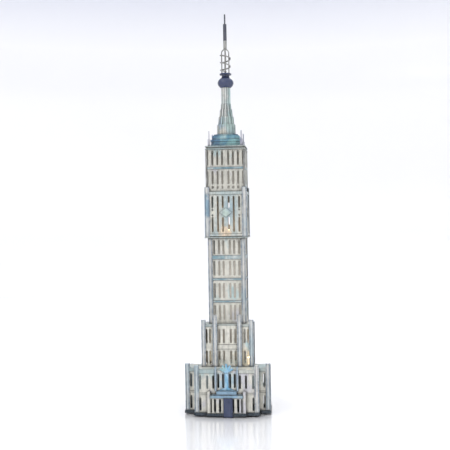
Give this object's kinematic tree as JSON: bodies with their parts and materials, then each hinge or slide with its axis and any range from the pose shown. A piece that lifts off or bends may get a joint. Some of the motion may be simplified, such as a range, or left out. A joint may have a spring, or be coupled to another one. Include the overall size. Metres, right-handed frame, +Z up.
{
  "type": "miniature landmark model",
  "caption": "Stepped skyscraper model in painted slotted sheet metal, with a finned mast, coil lantern and needle, lit from inside by a battery lamp in its base.",
  "frame": {"origin": "middle of the footprint, on the surface that the foot pads stand on", "axes": "+Z up along the tower to the needle's tip; the main entrance faces -Y; +X is the viewer's right, and the battery cover slides out towards +Y, at the back"},
  "size_m": [0.0952, 0.1038, 0.45],
  "materials": {
    "wall_paint": "hand-painted cream enamel with pale aqua and lilac washes, satin",
    "collar_paint": "hand-painted pale aqua enamel, satin",
    "post_paint": "hand-painted blue-grey enamel with darker edges, satin",
    "roof_paint": "hand-painted grey-green enamel, satin",
    "band_paint": "hand-painted steel-blue enamel, satin",
    "entrance_paint": "sky-blue enamel, satin",
    "crown_paint": "teal-blue enamel, satin",
    "mast_paint": "light grey enamel with aqua washes, satin",
    "navy_enamel": "dark navy enamel, semi-gloss",
    "base_enamel": "dark blue-grey enamel, satin",
    "finial_paint": "pale lilac-grey enamel, satin",
    "wire_metal": "lacquered grey wire, satin",
    "slate_metal": "dark slate enamel, satin",
    "black_plastic": "moulded, fine texture",
    "grey_plastic": "moulded",
    "foot_rubber": "matte",
    "cell_jacket": "printed film jacket left plain, satin",
    "contact_metal": "plated, bright",
    "screw_steel": "zinc plated",
    "lamp_lens": "warm white diffused lens",
    "lead_sleeve": "matte insulation"
  },
  "bodies": {
    "tower": {"base_plate": "base_enamel", "foot_pads": "foot_rubber", "battery_tray": "black_plastic", "battery_cells": "cell_jacket", "battery_contacts": "contact_metal", "base_screws": "screw_steel", "switch_body": "grey_plastic", "podium_wall_front": "wall_paint", "podium_wall_right": "wall_paint", "podium_wall_back": "wall_paint", "podium_wall_left": "wall_paint", "podium_corner_panels": "wall_paint", "podium_posts": "post_paint", "podium_roof": "roof_paint", "porch_screens": "wall_paint", "porch_canopies": "band_paint", "door_panels": "navy_enamel", "entrance_pier": "entrance_paint", "entrance_crest": "entrance_paint", "setback_wall_front": "wall_paint", "setback_wall_right": "wall_paint", "setback_wall_back": "wall_paint", "setback_wall_left": "wall_paint", "setback_posts": "post_paint", "setback_roof": "roof_paint", "shaft_wall_front": "wall_paint", "shaft_wall_right": "wall_paint", "shaft_wall_back": "wall_paint", "shaft_wall_left": "wall_paint", "shaft_corner_posts": "post_paint", "string_courses": "band_paint", "collar_wall_front": "collar_paint", "collar_wall_right": "collar_paint", "collar_wall_back": "collar_paint", "collar_wall_left": "collar_paint", "collar_posts": "post_paint", "collar_plates": "roof_paint", "upper_wall_front": "wall_paint", "upper_wall_right": "wall_paint", "upper_wall_back": "wall_paint", "upper_wall_left": "wall_paint", "upper_corner_rods": "wire_metal", "upper_ledges": "band_paint", "cornice_plate": "roof_paint", "crown_lower_tier": "crown_paint", "crown_upper_tier": "crown_paint", "corner_finials": "finial_paint", "mast_base": "mast_paint", "mast_column": "mast_paint", "mast_ball": "navy_enamel", "mast_neck": "navy_enamel", "lantern_cage": "wire_metal", "lantern_coil": "wire_metal", "spire_sleeve": "wire_metal", "spire_tube": "slate_metal", "spire_needle": "slate_metal", "lamps": "lamp_lens", "lamp_leads": "lead_sleeve"},
    "cover": {"battery_cover": "black_plastic"},
    "switch": {"switch_slider": "black_plastic"}
  },
  "joints": [
    {"name": "cover_slide", "type": "slide", "parent": "tower", "child": "cover", "axis": [0, 1, 0], "range_m": [0, 0.05]},
    {"name": "switch_slide", "type": "slide", "parent": "tower", "child": "switch", "axis": [1, 0, 0], "range_m": [-0.003, 0]}
  ]
}
